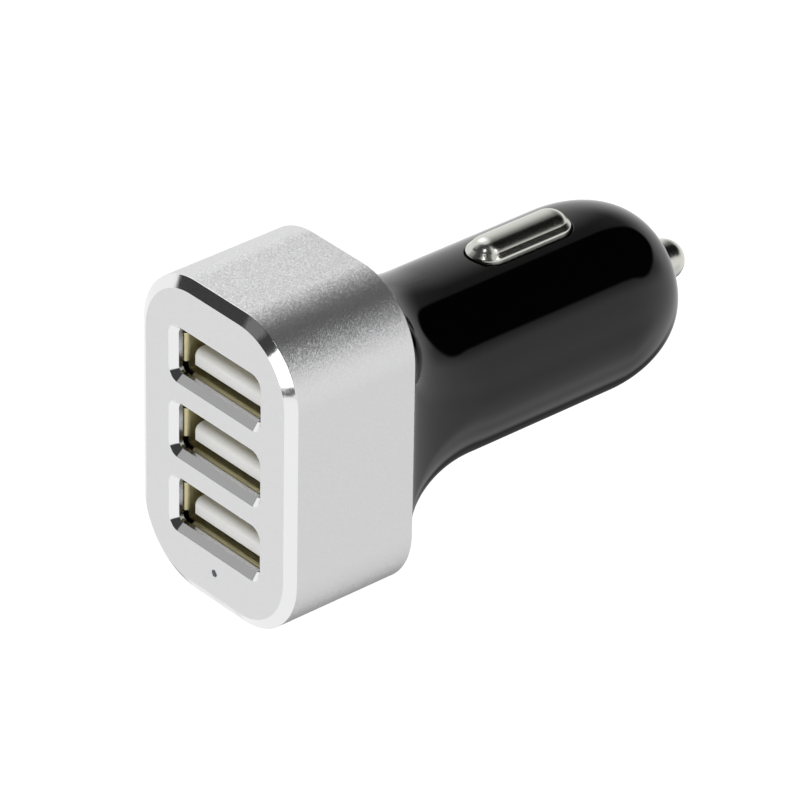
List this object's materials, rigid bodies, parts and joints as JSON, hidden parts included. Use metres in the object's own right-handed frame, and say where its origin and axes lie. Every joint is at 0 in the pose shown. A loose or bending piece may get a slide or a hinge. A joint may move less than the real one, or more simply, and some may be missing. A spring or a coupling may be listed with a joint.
{
  "type": "car usb charger plug",
  "caption": "Car charger plug: square aluminium end with stacked USB sockets, glossy round barrel, sprung centre pin and side contacts.",
  "frame": {"origin": "on the barrel's axis, in the plane where the straight round barrel begins behind the neck", "axes": "+Y along the plug from the square face to the centre pin, +Z along the row of ports towards the first one, +X across a port"},
  "size_m": [0.0246, 0.0637, 0.0368],
  "materials": {
    "anodised_aluminium": "satin, bead blasted and anodised, with polished cut bevels",
    "gloss_black_plastic": "high gloss",
    "nickel_sheet": "bright nickel plate, warm",
    "white_nylon": "matte",
    "gilt_contacts": "gold flash",
    "board_laminate": "solder mask",
    "ferrite": "matte",
    "capacitor_can": "satin",
    "black_epoxy": "matte",
    "white_ceramic": "matte",
    "led_lens": "gloss",
    "clear_acrylic": "clear",
    "nickel_plated_brass": "bright nickel plate",
    "spring_steel": "bright"
  },
  "bodies": {
    "body": {"front_shroud": "anodised_aluminium", "housing": "gloss_black_plastic", "usb_shell_1": "nickel_sheet", "usb_shell_2": "nickel_sheet", "usb_shell_3": "nickel_sheet", "usb_insulator_1": "white_nylon", "usb_insulator_2": "white_nylon", "usb_insulator_3": "white_nylon", "usb_contacts_1": "gilt_contacts", "usb_contacts_2": "gilt_contacts", "usb_contacts_3": "gilt_contacts", "port_board": "board_laminate", "main_board": "board_laminate", "power_inductor": "ferrite", "input_capacitor": "capacitor_can", "output_capacitor": "capacitor_can", "regulator_chip": "black_epoxy", "flyback_diode": "black_epoxy", "input_fuse": "white_ceramic", "status_led": "led_lens", "light_guide": "clear_acrylic", "pin_spring": "spring_steel", "pin_terminal": "spring_steel", "contact_spring_top": "spring_steel", "contact_spring_bottom": "spring_steel"},
    "pin": {"centre_pin": "nickel_plated_brass"},
    "contact_top": {"side_contact_top": "nickel_plated_brass"},
    "contact_bottom": {"side_contact_bottom": "nickel_plated_brass"}
  },
  "joints": [
    {"name": "pin_slide", "type": "slide", "parent": "body", "child": "pin", "axis": [0, -1, 0], "range_m": [0, 0.003], "stiffness_N_per_m": 800, "springref_m": -0.002, "deforming": ["pin_spring"]},
    {"name": "top_contact_press", "type": "slide", "parent": "body", "child": "contact_top", "axis": [0, 0, -1], "range_m": [0, 0.0014], "stiffness_N_per_m": 600, "springref_m": -0.001, "deforming": ["contact_spring_top"]},
    {"name": "bottom_contact_press", "type": "slide", "parent": "body", "child": "contact_bottom", "axis": [0, 0, 1], "range_m": [0, 0.0014], "stiffness_N_per_m": 600, "springref_m": -0.001, "deforming": ["contact_spring_bottom"]}
  ]
}
